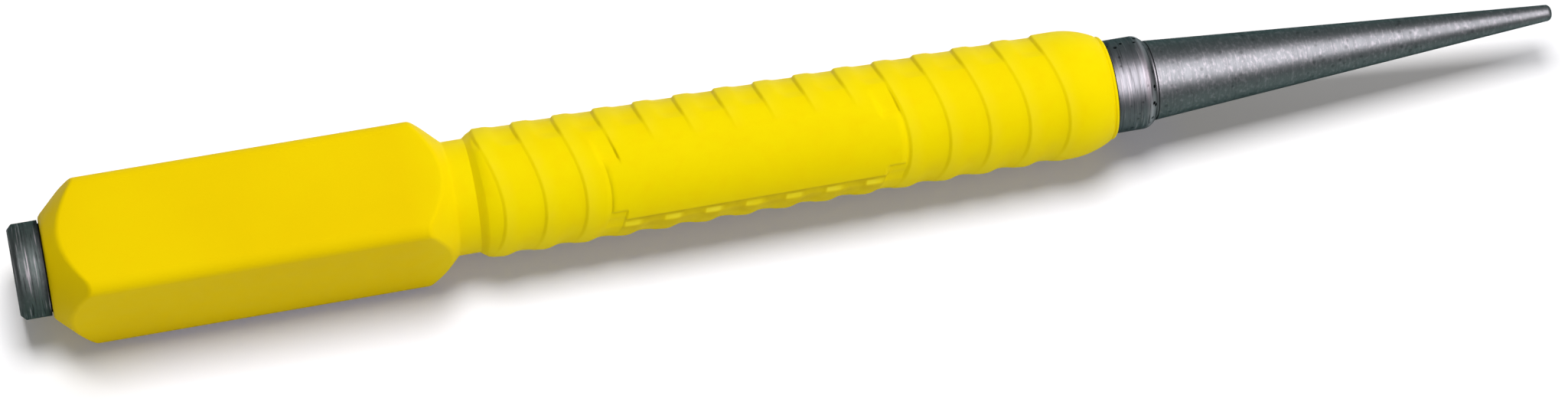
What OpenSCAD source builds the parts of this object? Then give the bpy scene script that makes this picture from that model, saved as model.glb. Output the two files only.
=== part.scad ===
// Nail setter: a hardened steel punch in a grip sleeve moulded round its shank.
// Both pieces are drawn standing on the struck face, as on a lathe, with the axis up.
// They are then laid on one flat of the square, with the tip towards +X.
// The origin lies on the bench, under the middle of the tool. Millimetres.

/* [Steel punch] */
// Diameter of the bare bar, at the head and at the collar
bar_d = 8.4; // [8.1:0.1:8.6]
// Length of the bare head behind the sleeve
head_len = 2.7; // [1.5:0.1:6]
// Bevel round the struck face
face_bevel = 0.45; // [0.2:0.05:0.8]
// Diameter of the shank that the sleeve is moulded on
shank_d = 7.8; // [6.5:0.1:8]
// Length of the bare collar in front of the sleeve, up to its bevel
collar_len = 3.05; // [2:0.05:8]
// Length of the bevel at the front of the collar
collar_bevel = 0.6; // [0.3:0.05:1]
// Diameter at the foot of that bevel
bevel_foot_d = 7.4; // [7.2:0.05:7.9]
// Width of the turned relief between the collar and the taper
relief_w = 0.25; // [0.15:0.05:0.6]
// Diameter at the bottom of the relief
relief_d = 6.9; // [6.5:0.05:7]
// Diameter of the taper where it leaves the relief
taper_d = 7.2; // [7.05:0.05:7.6]
// Length of the taper, from the relief to the end of the tip
taper_len = 37.95; // [30:0.05:50]
// Diameter of the taper where the tip starts to round
tip_d = 1.5; // [1.2:0.1:3]
// Rounding of the edge of the tip
tip_round = 0.35; // [0.1:0.05:0.35]
// Diameter of the hollow that keeps the tip on a nail
cup_d = 0.5; // [0.3:0.05:0.5]
// Depth of that hollow
cup_depth = 0.1; // [0.05:0.01:0.15]

/* [Square of the sleeve] */
// Width across the flats
square_w = 11.5; // [11:0.1:14]
// Rounding of the four long edges
edge_round = 1.2; // [0.5:0.1:3]
// Length from the rear end of the sleeve to the neck
square_len = 35.6; // [20:0.1:50]
// Diameter of the sleeve at its rear end
rear_d = 8.7; // [8.6:0.1:9.6]
// Slope of the rear cone, from the axis
rear_slope = 44; // [30:1:60]
// Slope of the front cone, from the axis
front_slope = 44; // [30:1:60]

/* [Neck of the sleeve] */
// Diameter of the neck
neck_d = 10.1; // [9:0.1:10.9]
// Length of the neck
neck_len = 1.9; // [1:0.1:4]
// Length of the slope from the neck up to the grip
lip_len = 0.4; // [0.2:0.05:0.6]

/* [Ribbed grip] */
// Diameter over the ribs
grip_d = 11.5; // [11.1:0.1:13]
// Length of the grip, with its nose
grip_len = 57.95; // [50:0.05:75]
// Depth of the grooves between the ribs
groove_depth = 0.23; // [0.1:0.01:0.5]
// Distance from the start of the grip to the first rib
first_rib = 0.66; // [0.2:0.02:2]
// Distance from one rib to the next
rib_pitch = 3.63; // [3.2:0.01:4.2]
// Width of one rib
rib_w = 1.9; // [1.2:0.05:2.4]
// How far each rib bows forward between the two parting lines
rib_bow = 1.47; // [0.5:0.01:2.5]
// Length of the rounded nose
nose_len = 4.45; // [2.5:0.05:6]
// Diameter of the sleeve at its front end
nose_d = 8.8; // [8.7:0.1:10]

/* [Smooth pad] */
// First rib that the pad takes the place of
pad_first = 4; // [2:1:5]
// Last rib that the pad takes the place of
pad_last = 10; // [8:1:11]
// Width of the pad
pad_w = 6.84; // [4:0.02:8]
// Width of the moat along each side of the pad
moat_w = 0.5; // [0.3:0.05:1]
// Width of the tabs at the two ends of the pad
tab_w = 4.2; // [2:0.1:6]
// How far the rear tab reaches past the pad
rear_tab = 1.4; // [0.5:0.05:1.6]
// How far the front tab reaches past the pad
front_tab = 1.1; // [0.5:0.05:1.6]

/* [Hidden] */
$fn = 96;

// Steps in a rounded outline
arc_steps = 12;
// Turn about the axis that faces the pad up and to the near side
pad_turn = 225;

steel_grey = [0.36, 0.39, 0.40];
grip_yellow = [0.95, 0.84, 0.03];

// Stations along the axis, from the struck face
sleeve_start = head_len;
neck_start = sleeve_start + square_len;
grip_start = neck_start + neck_len;
sleeve_end = grip_start + grip_len;
nose_start = sleeve_end - nose_len;
collar_end = sleeve_end + collar_len;
relief_start = collar_end + collar_bevel;
taper_start = relief_start + relief_w;
tool_len = taper_start + taper_len;

// The tool lies on the square or on the ribs, whichever stands out further
axis_height = max(square_w, grip_d) / 2;

// A circle this large round the square clears its edges, however sharp they are
square_clear = 0.75 * square_w;
core_d = grip_d - 2 * groove_depth;

// The nose is an arc that leaves the tops of the ribs smoothly
nose_drop = (grip_d - nose_d) / 2;
nose_r = (pow(nose_len, 2) + pow(nose_drop, 2)) / (2 * nose_drop);
nose_sweep = asin(nose_len / nose_r);

// Radius of the arc that bows a rib, seen square to the pad
bow_r = (pow(grip_d / 2, 2) + pow(rib_bow, 2)) / (2 * rib_bow);
// Half width of the plan of the ribs: past the grip, and within the arc
plan_half = (bow_r + grip_d / 2) / 2;

rib_count = floor((nose_start - grip_start - first_rib) / rib_pitch) + 1;
pad_rear = rib_start(pad_first);
pad_front = rib_start(pad_last) + rib_w;
// Half of the gap between two ribs
half_gap = (rib_pitch - rib_w) / 2;

function rib_start(number) = grip_start + first_rib + (number - 1) * rib_pitch;

// Points along an arc that turns in towards the axis
function turned_arc(centre, radius, sweep) =
    [for (i = [0:arc_steps])
        let (turn = sweep * i / arc_steps)
        centre + radius * [cos(turn), sin(turn)]];

// Lays a piece that stands on its struck face along +X, on the bench
module laid_down() {
    translate([-tool_len / 2, 0, axis_height])
        rotate([0, 90, 0])
            children();
}

// Extrudes a plan, drawn across and along the axis, square to the pad
module seen_from_pad(depth, both_sides) {
    rotate([0, 0, pad_turn])
        rotate([90, 0, 90])
            linear_extrude(height = depth, center = both_sides)
                children();
}

// Plan of all that lies behind a bowed edge which leaves the parting lines at this station
module behind_bow(station) {
    translate([0, station + rib_bow - bow_r]) {
        circle(r = bow_r);
        translate([-plan_half, -grip_len])
            square([2 * plan_half, grip_len]);
    }
}

module bowed_band(rear, front) {
    difference() {
        behind_bow(front);
        behind_bow(rear);
    }
}

// Bar turned down for the sleeve, so that a shoulder at each end holds it
module punch_turning() {
    rotate_extrude()
        polygon(concat(
            [[0, 0],
             [bar_d / 2 - face_bevel, 0],
             [bar_d / 2, face_bevel],
             [bar_d / 2, sleeve_start],
             [shank_d / 2, sleeve_start],
             [shank_d / 2, sleeve_end],
             [bar_d / 2, sleeve_end],
             [bar_d / 2, collar_end],
             [bevel_foot_d / 2, relief_start],
             [relief_d / 2, relief_start],
             [relief_d / 2, taper_start],
             [taper_d / 2, taper_start]],
            turned_arc([tip_d / 2 - tip_round, tool_len - tip_round], tip_round, 90),
            [[0, tool_len]]));
}

// Ball that leaves the shallow hollow in the tip
module tip_hollow() {
    ball_r = (pow(cup_d / 2, 2) + pow(cup_depth, 2)) / (2 * cup_depth);
    translate([0, 0, tool_len - cup_depth + ball_r])
        sphere(r = ball_r);
}

// Square bar with rounded edges, coned down at both ends
module square_block() {
    edge_at = square_w / 2 - edge_round;
    translate([0, 0, sleeve_start])
        intersection() {
            linear_extrude(height = square_len) {
                square([square_w, 2 * edge_at], center = true);
                square([2 * edge_at, square_w], center = true);
                for (x = [-edge_at, edge_at], y = [-edge_at, edge_at])
                    translate([x, y])
                        circle(r = edge_round);
            }
            rotate_extrude()
                polygon([
                    [0, 0],
                    [rear_d / 2, 0],
                    [square_clear, (square_clear - rear_d / 2) / tan(rear_slope)],
                    [square_clear, square_len - (square_clear - neck_d / 2) / tan(front_slope)],
                    [neck_d / 2, square_len],
                    [0, square_len]]);
        }
}

// Neck and the floor of the grooves, rooted in the square
module neck_and_core() {
    root = sleeve_start + square_len / 2;
    rotate_extrude()
        polygon([
            [0, root],
            [neck_d / 2, root],
            [neck_d / 2, grip_start],
            [core_d / 2, grip_start + lip_len],
            [core_d / 2, nose_start],
            [0, nose_start]]);
}

// Outside of the grip over its ribs, with the rounded nose
module grip_envelope() {
    rotate_extrude()
        polygon(concat(
            [[0, grip_start],
             [grip_d / 2, grip_start]],
            turned_arc([grip_d / 2 - nose_r, nose_start], nose_r, nose_sweep),
            [[0, sleeve_end]]));
}

// Bowed ribs, the last of which runs on into the nose
module rib_plan() {
    for (number = [1:rib_count - 1])
        bowed_band(rib_start(number), rib_start(number) + rib_w);
    bowed_band(rib_start(rib_count), sleeve_end + bow_r);
}

// Gap in the ribs that leaves a moat round the pad
module pad_window() {
    window_w = pad_w + 2 * moat_w;
    intersection() {
        bowed_band(pad_rear - half_gap, pad_front + half_gap);
        translate([-window_w / 2, grip_start])
            square([window_w, grip_len]);
    }
}

module pad_plan() {
    intersection() {
        bowed_band(pad_rear, pad_front);
        translate([-pad_w / 2, grip_start])
            square([pad_w, grip_len]);
    }
    intersection() {
        bowed_band(pad_rear - rear_tab, pad_front + front_tab);
        translate([-tab_w / 2, grip_start])
            square([tab_w, grip_len]);
    }
}

module ribs_and_pad() {
    intersection() {
        grip_envelope();
        union() {
            difference() {
                seen_from_pad(2 * grip_d, true)
                    rib_plan();
                seen_from_pad(grip_d, false)
                    pad_window();
            }
            seen_from_pad(grip_d, false)
                pad_plan();
        }
    }
}

module steel_punch() {
    color(steel_grey)
        laid_down()
            difference() {
                punch_turning();
                tip_hollow();
            }
}

module grip_sleeve() {
    color(grip_yellow)
        laid_down()
            difference() {
                union() {
                    square_block();
                    neck_and_core();
                    ribs_and_pad();
                }
                translate([0, 0, sleeve_start - neck_len])
                    cylinder(d = shank_d, h = sleeve_end - sleeve_start + 2 * neck_len);
            }
}

steel_punch();
grip_sleeve();
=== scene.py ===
# %% [markdown]
# # A nail setter
# A nail setter is a short steel punch that a hammer drives to sink a nail head below the wood.
# This one is a turned steel bar with a yellow vinyl sleeve moulded round its shank.
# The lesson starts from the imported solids, and makes both pieces again with their detail and finishes.

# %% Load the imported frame
import math

import bmesh
import bpy
from mathutils import Matrix, Vector


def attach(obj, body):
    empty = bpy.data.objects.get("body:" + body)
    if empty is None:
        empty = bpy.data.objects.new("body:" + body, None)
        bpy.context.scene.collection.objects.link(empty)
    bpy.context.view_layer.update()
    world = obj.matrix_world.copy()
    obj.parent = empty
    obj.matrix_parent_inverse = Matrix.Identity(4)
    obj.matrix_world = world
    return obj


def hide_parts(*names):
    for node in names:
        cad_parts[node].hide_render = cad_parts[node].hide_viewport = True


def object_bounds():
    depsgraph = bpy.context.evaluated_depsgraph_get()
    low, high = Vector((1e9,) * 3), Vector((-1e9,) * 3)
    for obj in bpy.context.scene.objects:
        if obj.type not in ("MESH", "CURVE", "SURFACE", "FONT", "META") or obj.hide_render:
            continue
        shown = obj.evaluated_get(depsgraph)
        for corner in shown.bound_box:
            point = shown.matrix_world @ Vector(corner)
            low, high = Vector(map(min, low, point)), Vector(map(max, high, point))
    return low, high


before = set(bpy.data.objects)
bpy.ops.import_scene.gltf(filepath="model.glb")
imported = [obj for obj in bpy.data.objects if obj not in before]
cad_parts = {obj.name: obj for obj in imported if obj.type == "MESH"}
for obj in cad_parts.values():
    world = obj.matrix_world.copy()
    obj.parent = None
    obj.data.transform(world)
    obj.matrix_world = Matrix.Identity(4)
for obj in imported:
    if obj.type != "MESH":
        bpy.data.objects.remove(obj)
cad_low, cad_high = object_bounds()


def sides(low, high):
    """The sides of a box in millimetres."""
    return [round(1000 * (b - a), 2) for a, b in zip(low, high)]


print("solids:", sorted(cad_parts))
print("size of the solids in mm:", sides(cad_low, cad_high))

# %% [markdown]
# ## Measures
# The tool lies along X with its tip towards +X.
# It is nearly round all along, so a station along the axis and a radius say where a point is.
# Stations are counted in millimetres from the struck face, as a turner would read them off a drawing.
# Blender counts in metres from the middle of the tool, so a small helper turns the one into the other.

# %% Measures of the whole tool
MM = 0.001
TOOL_LENGTH = (cad_high.x - cad_low.x) / MM
AXIS_HEIGHT = 5.75

SLEEVE_START = 2.7
NECK_START = 38.3
GRIP_START = 40.2
SLEEVE_END = 98.15
COLLAR_END = 101.2
BEVEL_END = 101.8
TAPER_START = 102.05


def along_x(station):
    """Where a station lies along X, in metres."""
    return (station - TOOL_LENGTH / 2) * MM


print("tool length in mm:", round(TOOL_LENGTH, 2))

# %% [markdown]
# ## Camera
# The photograph looks down on the tool from its near side, a little from behind the head.
# The picture is also turned, so that the tool climbs from the lower left to the upper right.
# A camera can be dragged into place, but an aim, three angles and a distance are easier to correct.
# A long lens from 0.43 m gives the slight narrowing towards the tip.

# %% Camera
PHOTO_WIDTH = 2049
SENSOR_WIDTH = 36
VIEW_TURN = math.radians(-20.50)
VIEW_RISE = math.radians(63.50)
VIEW_ROLL = math.radians(8.765)
VIEW_AIM = Vector((-2.861, -5.804, 5.75)) * MM
VIEW_DISTANCE = 433.0 * MM
VIEW_FOCAL = 6422.8

camera_data = bpy.data.cameras.new("camera")
camera_data.sensor_fit = "HORIZONTAL"
camera_data.sensor_width = SENSOR_WIDTH
camera_data.lens = SENSOR_WIDTH * VIEW_FOCAL / PHOTO_WIDTH
camera_data.clip_start = 0.01
camera = bpy.data.objects.new("camera", camera_data)
bpy.context.scene.collection.objects.link(camera)
bpy.context.scene.camera = camera

back = Vector((
    math.sin(VIEW_TURN) * math.cos(VIEW_RISE),
    -math.cos(VIEW_TURN) * math.cos(VIEW_RISE),
    math.sin(VIEW_RISE),
))
aimed = back.to_track_quat("Z", "Y").to_matrix().to_4x4()
camera.matrix_world = (
    Matrix.Translation(VIEW_AIM + back * VIEW_DISTANCE) @ aimed @ Matrix.Rotation(VIEW_ROLL, 4, "Z")
)
print("lens in mm:", round(camera_data.lens, 2))

# %% [markdown]
# ## Paper floor
# The tool lies on a sheet of white paper.
# Stronger lamps could make the paper white, but they would bleach the tool as well.
# So the paper also glows a little, and only as the camera, a mirror or a clear glass sees it.
# It still takes the shadow of the tool, because most of its light comes from the lamps.
# The sleeve throws yellow light on the paper beside it, and a bluer glow there takes that cast back.
# Beside the taper the shadow is warmer, and so is the glow.


# %% Shader helpers
def new_finish(name):
    finish = bpy.data.materials.new(name)
    finish.use_nodes = True
    finish.node_tree.nodes.clear()
    return finish


def add_node(owner, kind, **settings):
    """Adds a shader node to its owner, which is a material or the world."""
    shader_node = owner.node_tree.nodes.new("ShaderNode" + kind)
    for setting, value in settings.items():
        setattr(shader_node, setting, value)
    return shader_node


def link(owner, source, target):
    owner.node_tree.links.new(source, target)


# %% Helpers for scales, ramps and coats
def ranged(owner, value, low, high, to_low, to_high):
    """Reads a value on one scale and gives it on another, within its ends."""
    scale = add_node(owner, "MapRange")
    numbers = {"From Min": low, "From Max": high, "To Min": to_low, "To Max": to_high}
    for socket, number in numbers.items():
        scale.inputs[socket].default_value = number
    link(owner, value, scale.inputs["Value"])
    return scale.outputs["Result"]


def ramped(owner, value, stops):
    """Reads a colour off a ramp that is given as pairs of position and colour."""
    ramp = add_node(owner, "ValToRGB")
    marks = ramp.color_ramp.elements
    while len(marks) > 1:
        marks.remove(marks[-1])
    for number, (position, colour) in enumerate(stops):
        mark = marks[0] if number == 0 else marks.new(position)
        mark.position = position
        mark.color = (*colour, 1)
    link(owner, value, ramp.inputs["Fac"])
    return ramp.outputs["Color"]


def coated(owner, amount, under, over):
    """Lays one colour over another by an amount from 0 to 1."""
    mix = add_node(owner, "Mix", data_type="RGBA")
    for socket, colour in ((mix.inputs[6], under), (mix.inputs[7], over)):
        if isinstance(colour, tuple):
            socket.default_value = (*colour, 1)
        else:
            link(owner, colour, socket)
    link(owner, amount, mix.inputs[0])
    return mix.outputs[2]


# %% White paper
PAPER_TONE = (0.78, 0.78, 0.8)
paper = new_finish("white_paper")
paper_shade = add_node(paper, "BsdfDiffuse")
paper_shade.inputs["Color"].default_value = (*PAPER_TONE, 1)
paper_glow = add_node(paper, "Emission")
paper_sum = add_node(paper, "AddShader")
link(paper, paper_shade.outputs[0], paper_sum.inputs[0])
link(paper, paper_glow.outputs[0], paper_sum.inputs[1])
paper_output = add_node(paper, "OutputMaterial")
link(paper, paper_sum.outputs[0], paper_output.inputs["Surface"])
print("tone of the paper:", PAPER_TONE)

# %% Tint of the glow, from 0 at the struck face to 1 at the tip
PLAIN_GLOW = (0.71, 0.71, 0.71)
BLUE_GLOW = (0.63, 0.66, 1)
WARM_GLOW = (0.76, 0.71, 0.64)
TINT_FULL = 0.015
TINT_END = 0.035
paper_place = add_node(paper, "SeparateXYZ")
link(paper, add_node(paper, "TexCoord").outputs["Object"], paper_place.inputs[0])
along_tool = ranged(paper, paper_place.outputs["X"], along_x(0), along_x(TOOL_LENGTH), 0, 1)
tint_along = ramped(paper, along_tool, (
    (0.02, PLAIN_GLOW), (0.09, BLUE_GLOW), (0.66, BLUE_GLOW),
    (0.76, WARM_GLOW), (0.95, WARM_GLOW), (1, PLAIN_GLOW),
))
off_axis = add_node(paper, "Math", operation="ABSOLUTE")
link(paper, paper_place.outputs["Y"], off_axis.inputs[0])
beside_tool = ranged(paper, off_axis.outputs[0], TINT_FULL, TINT_END, 1, 0)
link(paper, coated(paper, beside_tool, PLAIN_GLOW, tint_along), paper_glow.inputs["Color"])
print("the tint ends", TINT_END, "m from the axis")

# %% Rays that see the glow
GLOW_LEVEL = 0.168
light_path = add_node(paper, "LightPath")
sees_glow = light_path.outputs["Is Camera Ray"]
for ray in ("Is Glossy Ray", "Is Transmission Ray"):
    either = add_node(paper, "Math", operation="MAXIMUM")
    link(paper, sees_glow, either.inputs[0])
    link(paper, light_path.outputs[ray], either.inputs[1])
    sees_glow = either.outputs[0]
glow_strength = add_node(paper, "Math", operation="MULTIPLY")
glow_strength.inputs[1].default_value = GLOW_LEVEL
link(paper, sees_glow, glow_strength.inputs[0])
link(paper, glow_strength.outputs[0], paper_glow.inputs["Strength"])
print("strength of the glow:", GLOW_LEVEL)

# %% Sheet of paper
HALF_SHEET = 0.5
floor_work = bmesh.new()
bmesh.ops.create_grid(floor_work, x_segments=1, y_segments=1, size=HALF_SHEET)
floor_mesh = bpy.data.meshes.new("floor")
floor_work.to_mesh(floor_mesh)
floor_work.free()
floor = bpy.data.objects.new("floor", floor_mesh)
floor.data.materials.append(paper)
bpy.context.scene.collection.objects.link(floor)
print("floor in m:", [round(side, 2) for side in floor.dimensions])

# %% [markdown]
# ## Light
# One big soft box would light a tool like this, but paper, vinyl and dark steel ask for different light.
# So there are three soft boxes, each for one of them.
# The box for the paper hangs behind the tool, so that a short soft shadow falls towards the camera.
# The box for the vinyl is wide and hangs towards the tip.
# It leaves the rear cone and the lower side in half shade.
# The box for the steel is long and broad, so that the bar mirrors it as one wide highlight.
# Round them the room is dim, and a little brighter towards the tip.


# %% Soft boxes
def soft_box(name, place, target, size, power, tint):
    light = bpy.data.lights.new(name, "AREA")
    light.shape = "RECTANGLE"
    light.size, light.size_y = size
    light.energy = power
    light.color = tint
    lamp = bpy.data.objects.new(name, light)
    lamp.location = place
    lamp.rotation_euler = (Vector(target) - Vector(place)).to_track_quat("-Z", "Y").to_euler()
    bpy.context.scene.collection.objects.link(lamp)
    print(name, "gives", power, "W")
    return lamp


paper_box = soft_box(
    "paper_box", place=(-0.02, 0.17, 0.72), target=(0, 0, 0),
    size=(0.3, 0.32), power=5.9, tint=(1, 0.99, 0.98),
)
vinyl_box = soft_box(
    "vinyl_box", place=(0.22, -0.07, 0.72), target=(-0.01, 0, 0),
    size=(0.8, 0.32), power=6.5, tint=(1, 0.97, 0.9),
)
steel_box = soft_box(
    "steel_box", place=(0.10, -0.12, 0.40), target=(0.09, 0, 0),
    size=(0.36, 0.46), power=7.5, tint=(1, 0.75, 0.84),
)

# %% Room light
WALL_TONES = (
    (0, (0.24, 0.242, 0.25)), (0.25, (0.16, 0.162, 0.168)),
    (0.5, (0.15, 0.152, 0.158)), (1, (0.48, 0.485, 0.5)),
)
HEAD_LEVEL = 0.5
TIP_LEVEL = 1.5
world = bpy.data.worlds.new("studio")
bpy.context.scene.world = world
world.use_nodes = True
world.node_tree.nodes.clear()
direction = add_node(world, "TexCoord")
split = add_node(world, "SeparateXYZ")
link(world, direction.outputs["Generated"], split.inputs[0])
near_to_far = ranged(world, split.outputs["Y"], -1, 1, 0, 1)
head_to_tip = ranged(world, split.outputs["X"], -1, 1, HEAD_LEVEL, TIP_LEVEL)
room_light = add_node(world, "Background")
link(world, ramped(world, near_to_far, WALL_TONES), room_light.inputs["Color"])
link(world, head_to_tip, room_light.inputs["Strength"])
room_output = add_node(world, "OutputWorld")
link(world, room_light.outputs[0], room_output.inputs["Surface"])
bpy.context.scene.view_settings.view_transform = "Standard"
print("room light at the head and at the tip:", HEAD_LEVEL, TIP_LEVEL)

# %% [markdown]
# ## Steel punch
# The bar was turned on a lathe, so head, hidden shank, collar and taper are all round.
# It could be put together from cylinders and cones, but one outline spun round the axis leaves no seams.
# Edges on turned steel are never quite sharp, so rings where the outline turns are bevelled afterwards.
# The front edge of the collar is worn rounder than the others.
# Each long face has an extra ring near its ends, which keeps its shading straight up to the bevel.

# %% Outline of the punch
BAR_R = 4.2
SHANK_R = 3.895
FACE_R = 3.75
FACE_BEVEL = 0.45
BEVEL_FOOT_R = 3.7
RELIEF_SIDE_R = 3.5
RELIEF_R = 3.45
TAPER_R = 3.6
TIP_R = 0.75
TIP_ROUND = 0.45
TAPER_RINGS = (102.2, 108, 116, 124, 132, 138.5, 139.3)
TIP_HOLLOW = ((0.02, 0.22), (0.08, 0.1), (0.1, 0))


def taper_radius(station):
    along = (station - TAPER_START) / (TOOL_LENGTH - TIP_ROUND - TAPER_START)
    return TAPER_R + (TIP_R - TAPER_R) * along


punch_outline = [
    (0.06, 0), (0.05, 1.5), (0.0, 3.3), (0.0, FACE_R),
    (FACE_BEVEL, BAR_R), (0.56, BAR_R), (1.2, BAR_R), (1.9, BAR_R), (2.6, BAR_R), (SLEEVE_START, BAR_R),
    (SLEEVE_START, SHANK_R), (SLEEVE_START + 0.3, SHANK_R),
    (SLEEVE_END - 0.3, SHANK_R), (SLEEVE_END, SHANK_R),
    (SLEEVE_END, BAR_R), (SLEEVE_END + 0.1, BAR_R), (99.6, BAR_R), (100.75, BAR_R), (COLLAR_END, BAR_R),
    (BEVEL_END, BEVEL_FOOT_R), (BEVEL_END, RELIEF_SIDE_R),
    (BEVEL_END + 0.06, RELIEF_R), (BEVEL_END + 0.19, RELIEF_R),
    (TAPER_START, RELIEF_SIDE_R), (TAPER_START, TAPER_R),
]
punch_outline += [(station, taper_radius(station)) for station in TAPER_RINGS]
for degrees in range(0, 91, 15):
    swing = math.radians(degrees)
    punch_outline.append((
        TOOL_LENGTH - TIP_ROUND + TIP_ROUND * math.sin(swing),
        TIP_R - TIP_ROUND + TIP_ROUND * math.cos(swing),
    ))
punch_outline += [(TOOL_LENGTH - depth, radius) for depth, radius in TIP_HOLLOW]
print("points in the punch outline:", len(punch_outline))


# %% Helpers for turned pieces
def above_axis(station, radius):
    """A point of a turned outline, straight above the axis."""
    return Vector((along_x(station), 0, radius * MM))


def spun(outline, columns, closed):
    """Spins an outline of stations and radii all the way round the axis."""
    work = bmesh.new()
    row = [work.verts.new(above_axis(station, radius)) for station, radius in outline]
    for one, two in zip(row, row[1:]):
        work.edges.new((one, two))
    if closed:
        work.edges.new((row[-1], row[0]))
    bmesh.ops.spin(
        work, geom=list(work.verts) + list(work.edges), cent=(0, 0, 0), axis=(1, 0, 0),
        angle=2 * math.pi, steps=columns, use_merge=True,
    )
    bmesh.ops.remove_doubles(work, verts=work.verts, dist=1e-7)
    bmesh.ops.recalc_face_normals(work, faces=work.faces)
    return work


# %% Helpers for soft edges
def ring(work, station, radius):
    """The edges of one ring of a turned piece."""
    spot = above_axis(station, radius)
    near = 2e-6

    def on_ring(vertex):
        return (
            abs(vertex.co.x - spot.x) < near
            and abs(math.hypot(vertex.co.y, vertex.co.z) - spot.z) < near
        )

    return [edge for edge in work.edges if all(on_ring(vertex) for vertex in edge.verts)]


def soften(work, station, radius, width):
    """Bevels one ring of a turned piece."""
    bmesh.ops.bevel(
        work, geom=ring(work, station, radius), offset=width * MM, offset_type="OFFSET",
        affect="EDGES", segments=3, profile=0.5, material=-1,
    )


# %% Helper for finished pieces
def finished_piece(name, work):
    """Lifts the piece to the height of the axis and makes it an object at the origin."""
    bmesh.ops.translate(work, verts=work.verts, vec=(0, 0, AXIS_HEIGHT * MM))
    for face in work.faces:
        face.smooth = True
    mesh = bpy.data.meshes.new(name)
    work.to_mesh(mesh)
    work.free()
    piece = bpy.data.objects.new(name, mesh)
    bpy.context.scene.collection.objects.link(piece)
    print(name, "has", len(mesh.polygons), "faces")
    return piece


# %% Spin the punch
PUNCH_COLUMNS = 160
SOFT_EDGES = (
    (0.0, FACE_R, 0.06), (FACE_BEVEL, BAR_R, 0.05),
    (SLEEVE_START, BAR_R, 0.04), (SLEEVE_END, BAR_R, 0.04),
    (COLLAR_END, BAR_R, 0.32), (BEVEL_END, BEVEL_FOOT_R, 0.04), (TAPER_START, TAPER_R, 0.04),
)
punch_work = spun(punch_outline, PUNCH_COLUMNS, closed=False)
for station, radius, width in SOFT_EDGES:
    soften(punch_work, station, radius, width)
punch = finished_piece("turned_punch", punch_work)

# %% [markdown]
# ## Yellow sleeve: the blank
# The sleeve is moulded round the bar in one shot.
# Its ribs and flats could be cut with booleans, but those leave ragged faces that shade badly.
# Here it is thought of as a turned blank that is then carved.
# The blank is one closed outline spun round the axis, with a ring wherever a later edge needs one.
# Carving only moves the vertices, so every edge of the finished sleeve runs along a ring or a column.

# %% Rings of the block and the neck
blank_stations = [2.95, 3.1, 3.4, 3.7]
blank_stations += [4.0, 4.1, 4.18, 4.24, 4.3, 4.36, 4.42, 4.5, 4.6]
blank_stations += [5.2, 9, 14, 20.5, 27, 32, 35.8]
blank_stations += [36.4, 36.5, 36.58, 36.64, 36.7, 36.76, 36.82, 36.9, 37.0]
blank_stations += [37.4, 37.8, 38.05, 38.18, 38.26, NECK_START, 38.34, 38.42, 38.55]
blank_stations += [39.2, 39.9, 40.08, 40.16, GRIP_START, 40.24, 40.32, 40.44, 40.56, 40.6, 40.64]
print("rings from the rear end to the lip:", len(blank_stations))

# %% Rings of the ribs, each step with its distance from the start of the rib and its rise
RIB_COUNT = 15
FIRST_RIB = GRIP_START + 0.66
RIB_PITCH = 3.63
RIB_LEAD = 0.14
RISER_END = 0.3
RIB_STEPS = (
    (-RIB_LEAD, 0.0), (-0.08, 0.012), (-0.02, 0.06), (0.05, 0.13), (0.13, 0.21), (0.2, 0.252),
    (RISER_END, 0.27), (1.15, 0.268), (1.45, 0.242), (1.72, 0.17), (2.0, 0.085), (2.28, 0.027),
    (2.55, 0.005), (2.8, 0.0),
)


def rib_start(number):
    return FIRST_RIB + (number - 1) * RIB_PITCH


for number in range(1, RIB_COUNT):
    blank_stations += [rib_start(number) + step for step, rise in RIB_STEPS]
blank_stations += [rib_start(RIB_COUNT) + step for step, rise in RIB_STEPS if step <= RISER_END]
print("rings from the rear end to the last rib:", len(blank_stations))

# %% Rings of the pad and the nose
PAD_REAR = rib_start(4)
PAD_FRONT = rib_start(10) + 1.9
REAR_TAB = PAD_REAR - 1.4
FRONT_TAB = PAD_FRONT + 1.5
blank_stations += [REAR_TAB + step for step in (-0.04, 0.03, 0.1)]
blank_stations += [PAD_FRONT + step for step in (-0.06, 0.06)]
blank_stations += [FRONT_TAB + step for step in (-0.12, -0.05, 0.02)]
blank_stations += [92.6, 93.2, 93.8, 94.4, 95.0, 95.6, 96.2, 96.7, 97.1, 97.4]
blank_stations = sorted(blank_stations)
print("rings along the outside:", len(blank_stations))

# %% Spin the blank
COLUMNS = 296
BORE_R = 3.905
CORE_R = 5.48
RIM_END = 2.85
rear_rim = [(2.8, BORE_R), (2.8, 4.22), (2.81, 4.32), (RIM_END, 4.44)]
front_rim = [
    (97.5, 4.76), (97.56, 4.68), (97.62, 4.59), (97.66, 4.565), (97.7, 4.58), (97.77, 4.65),
    (97.84, 4.665), (97.93, 4.62), (98.0, 4.54), (98.05, 4.46), (98.07, 4.38), (98.07, 4.22),
    (98.07, BORE_R),
]
bore = [(97.6, BORE_R), (70, BORE_R), (40, BORE_R), (3.3, BORE_R)]
sleeve_outline = rear_rim + [(station, CORE_R) for station in blank_stations] + front_rim + bore
sleeve_work = spun(sleeve_outline, COLUMNS, closed=True)
print("vertices in the blank:", len(sleeve_work.verts))

# %% [markdown]
# ## Yellow sleeve: the columns
# A spin sets its columns at even angles, and the sleeve has fine edges in two places only.
# They are the rounded edges of the square and the moat beside the pad.
# More columns all round would serve, but most of them would be spent where the sleeve is smooth.
# So the columns crowd in those two places and spread out elsewhere.
# Angles are measured from the middle of the pad, which faces up and to the near side.
# One edge of the square lies in line with it.

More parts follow.
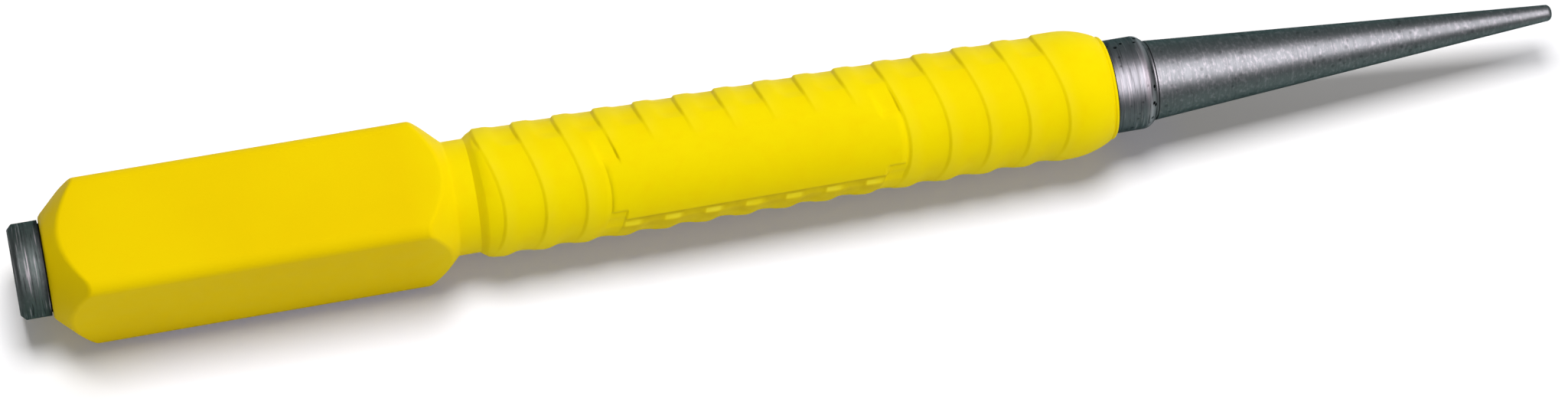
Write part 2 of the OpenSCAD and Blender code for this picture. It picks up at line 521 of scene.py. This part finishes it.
# %% Crowd the columns
EVEN_COLUMNS = (0, 10, 16, 20, 22, 28, 36, 37)
CROWDED_DEGREES = (0, 7.6, 20.3, 22.6, 29.2, 33.2, 44.2, 45)
COLUMN_STEP = 360 / COLUMNS
PAD_TURN = math.radians(135)


def between(value, knots, results):
    """Straight-line reading from a short table."""
    for (a, b), (c, d) in zip(zip(knots, knots[1:]), zip(results, results[1:])):
        if value <= b:
            return c + (d - c) * (value - a) / (b - a)
    return results[-1]


def crowded(degrees):
    """Moves an even column to its crowded place, alike in every eighth of the turn."""
    eighth = math.floor(degrees / 45 + 1e-6)
    within = degrees - 45 * eighth
    if eighth % 2:
        within = 45 - within
    moved = between(within / COLUMN_STEP, EVEN_COLUMNS, CROWDED_DEGREES)
    if eighth % 2:
        moved = 45 - moved
    return 45 * eighth + moved


print("an even column at 10 degrees goes to", round(crowded(10), 2))

# %% [markdown]
# ## Yellow sleeve: the square block
# The block stops the tool from rolling. It is a square bar with rounded edges, coned at both ends.
# A cone meets a flat along a curve. A boolean cut would find that curve, but leave it sharp.
# Here the rings near the curve are slid along the axis, each column by its own amount.
# The smaller of flat and cone then gives the radius, blended so that the edge is soft as in a mould.

# %% Section of the block
HALF_SQUARE = 5.75
EDGE_ROUND = 1.2


def square_radius(turn):
    """Distance from the axis to the outside of the rounded square."""
    off_flat = abs((math.degrees(turn) + 45) % 90 - 45)
    arc_centre = HALF_SQUARE - EDGE_ROUND
    if math.tan(math.radians(off_flat)) * HALF_SQUARE <= arc_centre:
        return HALF_SQUARE / math.cos(math.radians(off_flat))
    reach = arc_centre * math.sqrt(2)
    off_edge = math.radians(45 - off_flat)
    return reach * math.cos(off_edge) + math.sqrt(EDGE_ROUND ** 2 - (reach * math.sin(off_edge)) ** 2)


print("edge of the square from the axis in mm:", round(square_radius(math.radians(45)), 3))

# %% Cones of the block
REAR_R = 4.35
NECK_R = 5.05
CONE_RISE = math.tan(math.radians(44))
CONE_BLEND = 0.28
NECK_BLEND = 0.1
EDGE_REACH = 0.3
BLOCK_MIDDLE = (SLEEVE_START + NECK_START) / 2
BLOCK_RINGS = (RIM_END, 4.0, 4.6, 36.4, 37.0, NECK_START, GRIP_START)


def soft_min(one, two, width):
    """The smaller of two heights, rounded off where they are alike within this width."""
    overlap = max(width - abs(one - two), 0) / width
    return min(one, two) - overlap * overlap * width / 4


def soft_max(one, two, width):
    return -soft_min(-one, -two, width)


def block_shape(blank, turn):
    """Where a ring of the blank goes on the block and neck: station and radius."""
    flat = square_radius(turn)
    rear_edge = SLEEVE_START + (flat - REAR_R) / CONE_RISE
    front_edge = NECK_START - (flat - NECK_R) / CONE_RISE
    station = between(blank, BLOCK_RINGS, (
        RIM_END, rear_edge - EDGE_REACH, rear_edge + EDGE_REACH,
        front_edge - EDGE_REACH, front_edge + EDGE_REACH, NECK_START, GRIP_START,
    ))
    rear_cone = REAR_R + (station - SLEEVE_START) * CONE_RISE
    front_cone = NECK_R + (NECK_START - station) * CONE_RISE
    radius = soft_min(soft_min(flat, rear_cone, CONE_BLEND), front_cone, CONE_BLEND)
    if station > BLOCK_MIDDLE:
        radius = soft_max(radius, NECK_R, NECK_BLEND)
    return station, radius


print("radius in the middle of the neck in mm:", round(block_shape(39.2, 0)[1], 3))

# %% [markdown]
# ## Yellow sleeve: the ribbed grip
# Fifteen ribs cross the grip.
# Each rises sharply at its rear, has a flat top, and slopes away gently in front.
# Seen square to the pad each rib is an arc: it bows forward between the two parting lines of the mould.
# Between those lines the grooves are partly filled, and on the lower side the ribs' rear edges are worn.
# The ribs could be rings that are pushed on, but wear and pad would then be hard to blend in.
# So each rib is a height over the core, and other heights can be mixed with it.

# %% Rise of the ribs
RIB_R = 5.75
CROWN = RIB_R - CORE_R
SLOPE_END = RIB_PITCH - RIB_LEAD
LIFT_ACROSS = (-100, -3, 0, 3, 100)
LIFT_RISES = (0.19, 0.19, 0.14, 0.08, 0.08)
UPPER_LINE = (-100, 5.0, 5.4, 100)
LOWER_WEAR = (-100, 2.5, 4.6, 100)
WORN_STATIONS = (-RIB_LEAD, RISER_END, 0.8, 1.15, 1.45, 1.72, 2.0, 2.28, 2.55, 2.8, SLOPE_END)
WORN_RISES = (0.075, 0.18, 0.255, 0.268, 0.245, 0.175, 0.09, 0.03, 0.008, 0.006, 0.075)
step_stations = [step for step, rise in RIB_STEPS]
step_rises = [rise for step, rise in RIB_STEPS]


def groove_lift(across):
    """How far the grooves are filled up between the parting lines, where the grip is worn smooth."""
    return between(across, LIFT_ACROSS, LIFT_RISES)


def rib_rise(blank, across):
    """Height of the ribs over the floor of the deepest grooves."""
    number = math.floor((blank - FIRST_RIB + RIB_LEAD) / RIB_PITCH) + 1
    lift = groove_lift(across)
    upper = between(-across, UPPER_LINE, (0, 0, 1, 1))
    lower = between(across, LOWER_WEAR, (0, 0, 1, 1))
    if number < 1:
        return lift * (1 - upper) * (1 - lower)
    after = blank - rib_start(min(number, RIB_COUNT))
    if number >= RIB_COUNT and after > RISER_END:
        return CROWN
    flat_topped = between(after, step_stations, step_rises)
    worn = between(after, WORN_STATIONS, WORN_RISES)
    if after > RISER_END:
        sloping = between(after, (RISER_END, SLOPE_END), (CROWN, lift))
    else:
        sloping = lift + flat_topped * (CROWN - lift) / CROWN
    return sloping + (flat_topped - sloping) * upper + (worn - sloping) * lower


print("height of a rib in mm:", round(CROWN, 3))

# %% [markdown]
# ## Yellow sleeve: the pad and the nose
# In the middle of the grip, seven ribs give way to a smooth pad.
# It has a moat along each side and a tab at each end.
# The pad could be a piece of its own laid on the ribs, but the real one is moulded in.
# So a window says where the pad takes the place of the ribs, and soft walls bound it.
# At its rear the grip starts with a sloping lip, and its front end is rounded to a nose.

# %% Shape of the pad
PAD_HALF = 3.0
MOAT_EDGE = 3.82
UPPER_EDGE = 3.92
TAB_HALF = 2.1
UPPER_TAB_HALF = 2.75
EDGE_WIDTH = 0.14
MOAT_WIDTH = 0.4
UPPER_WIDTH = 0.5
UPPER_DROP = 0.25
UPPER_FADE = 1.3
WINDOW_REACH = 1.6


def wall(value, edge, width):
    """Falls from 1 to 0 across an edge of this width."""
    return between(value, (-1e3, edge - width, edge - 0.5 * width, edge, 1e3), (1, 1, 0.55, 0, 0))


def pad_rise(blank, across):
    """Height of the pad, its tabs and the moat, which is shallow and soft along the upper side."""
    if across > 0:
        side = wall(across, PAD_HALF, EDGE_WIDTH)
        tab_side = wall(across, TAB_HALF, EDGE_WIDTH)
    else:
        side = 1 - UPPER_DROP * (1 - wall(-across, UPPER_EDGE, UPPER_WIDTH))
        tab_side = wall(-across, UPPER_TAB_HALF, EDGE_WIDTH)
    pad = side * wall(-blank, -PAD_REAR + 0.02, 0.16) * wall(blank, PAD_FRONT, EDGE_WIDTH)
    tab = tab_side * wall(-blank, -REAR_TAB, EDGE_WIDTH) * wall(blank, FRONT_TAB, EDGE_WIDTH)
    lifted = groove_lift(across) * wall(abs(across), PAD_HALF, MOAT_WIDTH)
    return max(CROWN * max(pad, tab), lifted)


def pad_window(blank, across, off_pad):
    """1 where the pad and its moat take the place of the ribs, 0 where the ribs are whole."""
    if not PAD_REAR - WINDOW_REACH < blank < PAD_FRONT + WINDOW_REACH or math.cos(off_pad) <= 0:
        return 0
    if across > 0:
        return wall(across, MOAT_EDGE, MOAT_WIDTH)
    return wall(-across, UPPER_EDGE + 0.9, UPPER_FADE)


print("length of the pad in mm:", round(PAD_FRONT - PAD_REAR, 2))

# %% Shape of the grip
RIB_BOW = 1.47
BOW_R = (RIB_R ** 2 + RIB_BOW ** 2) / (2 * RIB_BOW)
BOW_STATIONS = (0, 40.56, 40.6, 40.64, 40.72, 92.0, 97.2, 200)
BOW_PARTS = (0, 0, 0.17, 0.28, 1, 1, 0, 0)
LIP_RISE = 0.75
LIP_END = GRIP_START + 1.6
LIP_BLEND = 0.06
NOSE_START = 93.7
NOSE_ARC = 8.0


def bow_at(across):
    """How far a rib is bowed forward, this far from the middle of the pad."""
    return math.sqrt(BOW_R ** 2 - min(abs(across), RIB_R) ** 2) - (BOW_R - RIB_BOW)


def grip_shape(blank, off_pad):
    """Where a ring of the blank goes on the grip: station and radius."""
    across = RIB_R * math.sin(off_pad)
    station = blank + bow_at(across) * between(blank, BOW_STATIONS, BOW_PARTS)
    rise = rib_rise(blank, across)
    rise += (pad_rise(blank, across) - rise) * pad_window(blank, across, off_pad)
    radius = CORE_R + rise
    if station < LIP_END:
        radius = soft_min(radius, NECK_R + max(station - GRIP_START, 0) * LIP_RISE, LIP_BLEND)
    if station > NOSE_START:
        radius -= NOSE_ARC - math.sqrt(NOSE_ARC ** 2 - (station - NOSE_START) ** 2)
    return station, radius


print("bow in the middle of a rib in mm:", round(bow_at(0), 3))

# %% [markdown]
# ## Yellow sleeve: painted shade, highlights and carving
# The foot of each rib and the strip below the pad are darkened, as painted shade.
# The crowns are made paler, partly as rubbing and partly as painted highlight.
# The rib ends beside the pad are made paler, as painted highlight.
# Noise alone would put these anywhere, because it doesn't know where the ribs are.
# So they are worked out while the sleeve is carved, and kept as attributes of its vertices.
# The finish reads them later.

# %% Painted shade, rubbing and painted highlights of the grip
FOOT_SHADE_LEVEL = 0.15
CROWN_RUB_AND_HIGHLIGHT = 0.3


def wear(blank, off_pad):
    """How much painted shade darkens here, and how much rubbing and painted highlight pale it, from 0 to
    1.
    """
    across = RIB_R * math.sin(off_pad)
    ribs_here = 1 - pad_window(blank, across, off_pad)
    foot = (blank - FIRST_RIB + 0.5) % RIB_PITCH - 0.5
    shade_at_foot = between(foot, (-0.5, -RIB_LEAD, -0.08, 0.05, 0.13, 4), (0, 0, 1, 0.8, 0, 0))
    # The crowns are paled partly as rubbing and partly as painted highlight.
    crown_rub_and_highlight = between(foot, (-0.5, 0.13, 0.2, RISER_END, 1.4, 4), (0, 0, 1, 1, 0, 0))
    painted_shade = FOOT_SHADE_LEVEL * ribs_here * shade_at_foot
    rub_and_highlight = CROWN_RUB_AND_HIGHLIGHT * ribs_here * crown_rub_and_highlight
    # Below the pad the rib ends get painted highlight, and the strip under them painted shade.
    if across > PAD_HALF and math.cos(off_pad) > 0 and PAD_REAR < blank < PAD_FRONT:
        rib_end_highlight = between(foot, (-0.5, 0.1, RISER_END, 1.6, 1.8, 4), (0, 0, 1, 1, 0, 0))
        at_edge = between(across, (0, 3.36, 3.48, 3.74, 3.86, 100), (0, 0, 1, 1, 0, 0))
        below = between(across, (0, MOAT_EDGE + 0.4, 5.2, 100), (1, 0.9, 0, 0))
        rub_and_highlight = rib_end_highlight * at_edge
        painted_shade = below * (1 - rub_and_highlight)
    return painted_shade, rub_and_highlight


# The print shows the painted shade at the foot of a rib.
print("dirt at the foot of a rib:", round(wear(rib_start(2) - 0.08, math.pi)[0], 2))

# %% Carve the sleeve
# These layers hold the painted shade, and the rubbing with painted highlight.
painted_shade_layer = sleeve_work.verts.layers.float.new("painted_shade")
rub_and_highlight_layer = sleeve_work.verts.layers.float.new("rub_and_highlight")
for vertex in sleeve_work.verts:
    blank = vertex.co.x / MM + TOOL_LENGTH / 2
    radius = math.hypot(vertex.co.y, vertex.co.z) / MM
    turn = math.atan2(vertex.co.z, vertex.co.y)
    off_pad = math.radians(crowded(math.degrees(turn - PAD_TURN) % 360))
    turn = off_pad + PAD_TURN
    station = blank
    if radius > CORE_R - 0.01:
        if blank < GRIP_START + 0.001:
            station, radius = block_shape(blank, turn)
        else:
            station, radius = grip_shape(blank, off_pad)
            if blank < NOSE_START:
                vertex[painted_shade_layer], vertex[rub_and_highlight_layer] = wear(blank, off_pad)
    vertex.co = (along_x(station), radius * MM * math.cos(turn), radius * MM * math.sin(turn))
bmesh.ops.recalc_face_normals(sleeve_work, faces=sleeve_work.faces)
sleeve = finished_piece("moulded_sleeve", sleeve_work)

# %% [markdown]
# ## Yellow vinyl
# The sleeve is soft vinyl, coloured right through, with the dull sheen of a sandblasted mould.
# A picture of vinyl would have to be unwrapped round the sleeve, and would show a seam.
# Noise on Object coordinates needs no unwrapping: slow clouds and a fine mottle vary the yellow.
# A fine grain roughens it, and the grip is a little paler than the block.
# The foot of each rib and the strip below the pad are darkened as painted shade.
# The crowns are paler, partly as rubbing and partly as painted highlight, and the rib ends beside the pad
# as painted highlight.


# %% Pattern helpers
def speckle(finish, place, scale, detail, stretch=(1, 1, 1)):
    """A noise pattern, squeezed along an axis where stretch is more than 1."""
    squeeze = add_node(finish, "Mapping")
    squeeze.inputs["Scale"].default_value = stretch
    link(finish, place, squeeze.inputs["Vector"])
    pattern = add_node(finish, "TexNoise")
    pattern.inputs["Scale"].default_value = scale
    pattern.inputs["Detail"].default_value = detail
    link(finish, squeeze.outputs["Vector"], pattern.inputs["Vector"])
    return pattern.outputs["Fac"]


def times(finish, one, two):
    """The product of two values of a finish."""
    product = add_node(finish, "Math", operation="MULTIPLY")
    link(finish, one, product.inputs[0])
    link(finish, two, product.inputs[1])
    return product.outputs[0]


def roughened(finish, height, depth, below=None):
    """Bumps the surface by a height pattern, this many metres deep."""
    bump = add_node(finish, "Bump")
    bump.inputs["Distance"].default_value = depth
    link(finish, height, bump.inputs["Height"])
    if below is not None:
        link(finish, below, bump.inputs["Normal"])
    return bump.outputs["Normal"]


# %% Patterns in the vinyl
vinyl = new_finish("yellow_vinyl")
vinyl_place = add_node(vinyl, "TexCoord").outputs["Object"]
clouds = speckle(vinyl, vinyl_place, 90, 3)
mottle = speckle(vinyl, vinyl_place, 700, 4)
grain = speckle(vinyl, vinyl_place, 4200, 2)
painted_shade = add_node(vinyl, "Attribute", attribute_name="painted_shade").outputs["Fac"]
rub_and_highlight = add_node(vinyl, "Attribute", attribute_name="rub_and_highlight").outputs["Fac"]
print("nodes in the vinyl's patterns:", len(vinyl.node_tree.nodes))

# %% Colour of the vinyl
BLOCK_DEEP = (0.785, 0.57, 0.001)
BLOCK_PALE = (0.81, 0.602, 0.001)
GRIP_DEEP = (0.825, 0.655, 0.001)
GRIP_PALE = (0.845, 0.687, 0.001)
MOTTLE_TONE = (0.82, 0.58, 0.001)
# The pale tone is rubbing and painted highlight; the dark tone is painted shade.
RUB_AND_HIGHLIGHT_TONE = (0.88, 0.76, 0.03)
PAINTED_SHADE_TONE = (0.55, 0.40, 0.01)

vinyl_along = add_node(vinyl, "SeparateXYZ")
link(vinyl, vinyl_place, vinyl_along.inputs[0])
grip_part = ranged(vinyl, vinyl_along.outputs["X"], along_x(34), along_x(41), 0, 1)
cloud_part = ranged(vinyl, clouds, 0.35, 0.65, 0, 1)
block_yellow = coated(vinyl, cloud_part, BLOCK_DEEP, BLOCK_PALE)
grip_yellow = coated(vinyl, cloud_part, GRIP_DEEP, GRIP_PALE)
yellow = coated(vinyl, grip_part, block_yellow, grip_yellow)
yellow = coated(vinyl, ranged(vinyl, mottle, 0.45, 0.75, 0, 0.3), yellow, MOTTLE_TONE)
# Rubbing and painted highlight pale the crowns and rib ends; painted shade darkens the rib feet and below
# the pad.
rub_and_highlight_here = times(vinyl, rub_and_highlight, ranged(vinyl, mottle, 0.35, 0.65, 0.4, 1))
yellow = coated(vinyl, rub_and_highlight_here, yellow, RUB_AND_HIGHLIGHT_TONE)
shade_here = times(vinyl, painted_shade, ranged(vinyl, mottle, 0.3, 0.6, 0.3, 0.6))
yellow = coated(vinyl, shade_here, yellow, PAINTED_SHADE_TONE)
print("yellow of the block and of the grip:", BLOCK_DEEP, GRIP_DEEP)

# %% Sheen of the vinyl
MOTTLE_DEPTH = 0.00001
GRAIN_DEPTH = 0.000008
vinyl_shade = add_node(vinyl, "BsdfPrincipled")
vinyl_shade.inputs["Specular IOR Level"].default_value = 0.04
vinyl_shade.inputs["Specular Tint"].default_value = (1, 0.8, 0.1, 1)
link(vinyl, yellow, vinyl_shade.inputs["Base Color"])
link(vinyl, ranged(vinyl, mottle, 0.3, 0.7, 0.47, 0.6), vinyl_shade.inputs["Roughness"])
vinyl_skin = roughened(vinyl, mottle, MOTTLE_DEPTH)
vinyl_skin = roughened(vinyl, grain, GRAIN_DEPTH, vinyl_skin)
link(vinyl, vinyl_skin, vinyl_shade.inputs["Normal"])
vinyl_output = add_node(vinyl, "OutputMaterial")
link(vinyl, vinyl_shade.outputs[0], vinyl_output.inputs["Surface"])
sleeve.data.materials.append(vinyl)
print("vinyl nodes:", len(vinyl.node_tree.nodes))

# %% [markdown]
# ## Turned steel
# The bar came off a lathe and was then hardened, which left a dark greenish skin.
# The bevel of the struck face, the steel beside both ends of the sleeve and the groove behind the collar
# are painted near black, as painted shade and dark reflection.
# The front edge of the collar is rubbed bright.
# A material for each stretch would cut the bar into zones with hard borders.
# So one ramp along the axis gives each stretch its tone, and others say how strong its marks are.
# Turning marks are noise squeezed along the axis, so that they run round the bar.
# Pits are the small end of a cell pattern.

# %% Tones along the bar
FACE_TONE = (0.1, 0.115, 0.11)
# This near black is painted shade and dark reflection, not soot.
PAINTED_DARK_STEEL = (0.01, 0.013, 0.012)
HEAD_TONE = (0.056, 0.086, 0.076)
COLLAR_TONE = (0.082, 0.104, 0.104)
SHOULDER_TONE = (0.24, 0.27, 0.275)
BEVEL_TONE = (0.16, 0.19, 0.19)
TAPER_TONE = (0.076, 0.1, 0.097)
TIP_TONE = (0.1, 0.128, 0.124)

steel = new_finish("turned_steel")
steel_place = add_node(steel, "TexCoord").outputs["Object"]
steel_along = add_node(steel, "SeparateXYZ")
link(steel, steel_place, steel_along.inputs[0])
end_to_end = ranged(steel, steel_along.outputs["X"], along_x(0), along_x(TOOL_LENGTH), 0, 1)


def toned(stops):
    """A colour that changes along the bar, from pairs of station and colour."""
    return ramped(steel, end_to_end, [(station / TOOL_LENGTH, colour) for station, colour in stops])


def graded(stops):
    """A level that changes along the bar, from pairs of station and level."""
    return toned([(station, (level, level, level)) for station, level in stops])


# The near-black stops in this ramp are painted shade and dark reflection.
tone = toned((
    (0.06, FACE_TONE), (0.1, PAINTED_DARK_STEEL), (0.45, PAINTED_DARK_STEEL), (0.6, HEAD_TONE), (2.55, HEAD_TONE), (2.7, PAINTED_DARK_STEEL),
    (98.34, PAINTED_DARK_STEEL), (98.42, COLLAR_TONE), (100.85, COLLAR_TONE), (101.0, SHOULDER_TONE),
    (101.45, SHOULDER_TONE), (101.7, BEVEL_TONE), (101.8, PAINTED_DARK_STEEL), (102.05, PAINTED_DARK_STEEL),
    (102.2, TAPER_TONE), (136, TAPER_TONE), (139.5, TIP_TONE),
))
print("tones of head, collar and taper:", HEAD_TONE, COLLAR_TONE, TAPER_TONE)

# %% Turning marks
TURN_TONE = (0.026, 0.034, 0.032)
SPARK_TONE = (0.16, 0.19, 0.19)
BLOTCH_TONE = (0.05, 0.068, 0.065)
BRIGHT_SCRATCH = (0.26, 0.29, 0.29)
DARK_SCRATCH = (0.012, 0.015, 0.015)

marked = graded((
    (0.0, 0.8), (2.7, 0.8), (98.15, 0.5), (99.9, 0.5), (100.3, 1), (101.3, 1),
    (101.8, 0.5), (102.3, 0.15), (140, 0.12),
))
turning = speckle(steel, steel_place, 60, 4, stretch=(60, 1, 1))
scratches = speckle(steel, steel_place, 260, 2, stretch=(26, 1, 1))
sparkle = speckle(steel, steel_place, 2200, 3, stretch=(1.7, 1, 1))
blotches = speckle(steel, steel_place, 260, 5)
dark_turns = times(steel, ranged(steel, turning, 0.35, 0.6, 0.5, 0), marked)
metal = coated(steel, dark_turns, tone, TURN_TONE)
on_taper = ranged(steel, end_to_end, 101.92 / TOOL_LENGTH, 102.2 / TOOL_LENGTH, 0.2, 1)
sparks = times(steel, ranged(steel, sparkle, 0.5, 0.75, 0, 0.6), on_taper)
metal = coated(steel, sparks, metal, SPARK_TONE)
metal = coated(steel, ranged(steel, blotches, 0.5, 0.75, 0, 0.3), metal, BLOTCH_TONE)
bright_scratches = times(steel, ranged(steel, scratches, 0.4, 0.3, 0, 0.7), marked)
metal = coated(steel, bright_scratches, metal, BRIGHT_SCRATCH)
dark_scratches = times(steel, ranged(steel, scratches, 0.6, 0.66, 0, 0.9), marked)
metal = coated(steel, dark_scratches, metal, DARK_SCRATCH)
print("nodes up to the turning marks:", len(steel.node_tree.nodes))

# %% Pits
PITS_PER_METRE = 1300
PIT_TONE = (0.004, 0.005, 0.005)
cells = add_node(steel, "TexVoronoi")
cells.inputs["Scale"].default_value = PITS_PER_METRE
link(steel, steel_place, cells.inputs["Vector"])
pits = times(
    steel,
    ranged(steel, cells.outputs["Distance"], 0.16, 0.28, 1, 0),
    ranged(steel, blotches, 0.44, 0.5, 0, 1),
)
pits = times(steel, pits, graded(((2.7, 0.1), (98.15, 1), (101.8, 1), (102.3, 0.3))))
metal = coated(steel, pits, metal, PIT_TONE)
print("width of a pit's cell in mm:", round(1 / PITS_PER_METRE / MM, 2))

# %% Sheen of the steel
RIDGE_DEPTH = 0.000012
SPARKLE_DEPTH = 0.000006
steel_shade = add_node(steel, "BsdfPrincipled")
steel_shade.inputs["Metallic"].default_value = 1
link(steel, metal, steel_shade.inputs["Base Color"])
steel_shade.inputs["Specular Tint"].default_value = (0.3, 0.36, 0.36, 1)
dullness = add_node(steel, "Math", operation="ADD")
link(steel, ranged(steel, turning, 0.3, 0.7, 0.48, 0.4), dullness.inputs[0])
link(steel, graded(((0.0, 0.2), (2.7, 0.2), (5.6, 0))), dullness.inputs[1])
link(steel, dullness.outputs[0], steel_shade.inputs["Roughness"])
steel_skin = roughened(steel, times(steel, turning, marked), RIDGE_DEPTH)
steel_skin = roughened(steel, sparkle, SPARKLE_DEPTH, steel_skin)
link(steel, steel_skin, steel_shade.inputs["Normal"])
steel_output = add_node(steel, "OutputMaterial")
link(steel, steel_shade.outputs[0], steel_output.inputs["Surface"])
punch.data.materials.append(steel)
print("steel nodes:", len(steel.node_tree.nodes))

# %% [markdown]
# ## Sharing out the lamps
# In a studio, screens would keep the light for one material off the others.
# Blender can link a lamp to the pieces that it lights, which is simpler and throws no shadow of a screen.
# All pieces still throw their own shadows, and light still bounces from the paper to the tool and back.


# %% Sharing out the lamps
def only_on(lamp, piece):
    """Lets a lamp light this piece alone."""
    lit = bpy.data.collections.new(lamp.name + "_lights")
    lit.objects.link(piece)
    lamp.light_linking.receiver_collection = lit


for lamp, piece in ((paper_box, floor), (vinyl_box, sleeve), (steel_box, punch)):
    only_on(lamp, piece)
    print(lamp.name, "lights", piece.name)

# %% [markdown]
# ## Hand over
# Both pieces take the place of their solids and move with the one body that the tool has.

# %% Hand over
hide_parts("grip_sleeve")
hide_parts("steel_punch")
for piece in (sleeve, punch):
    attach(piece, "root")
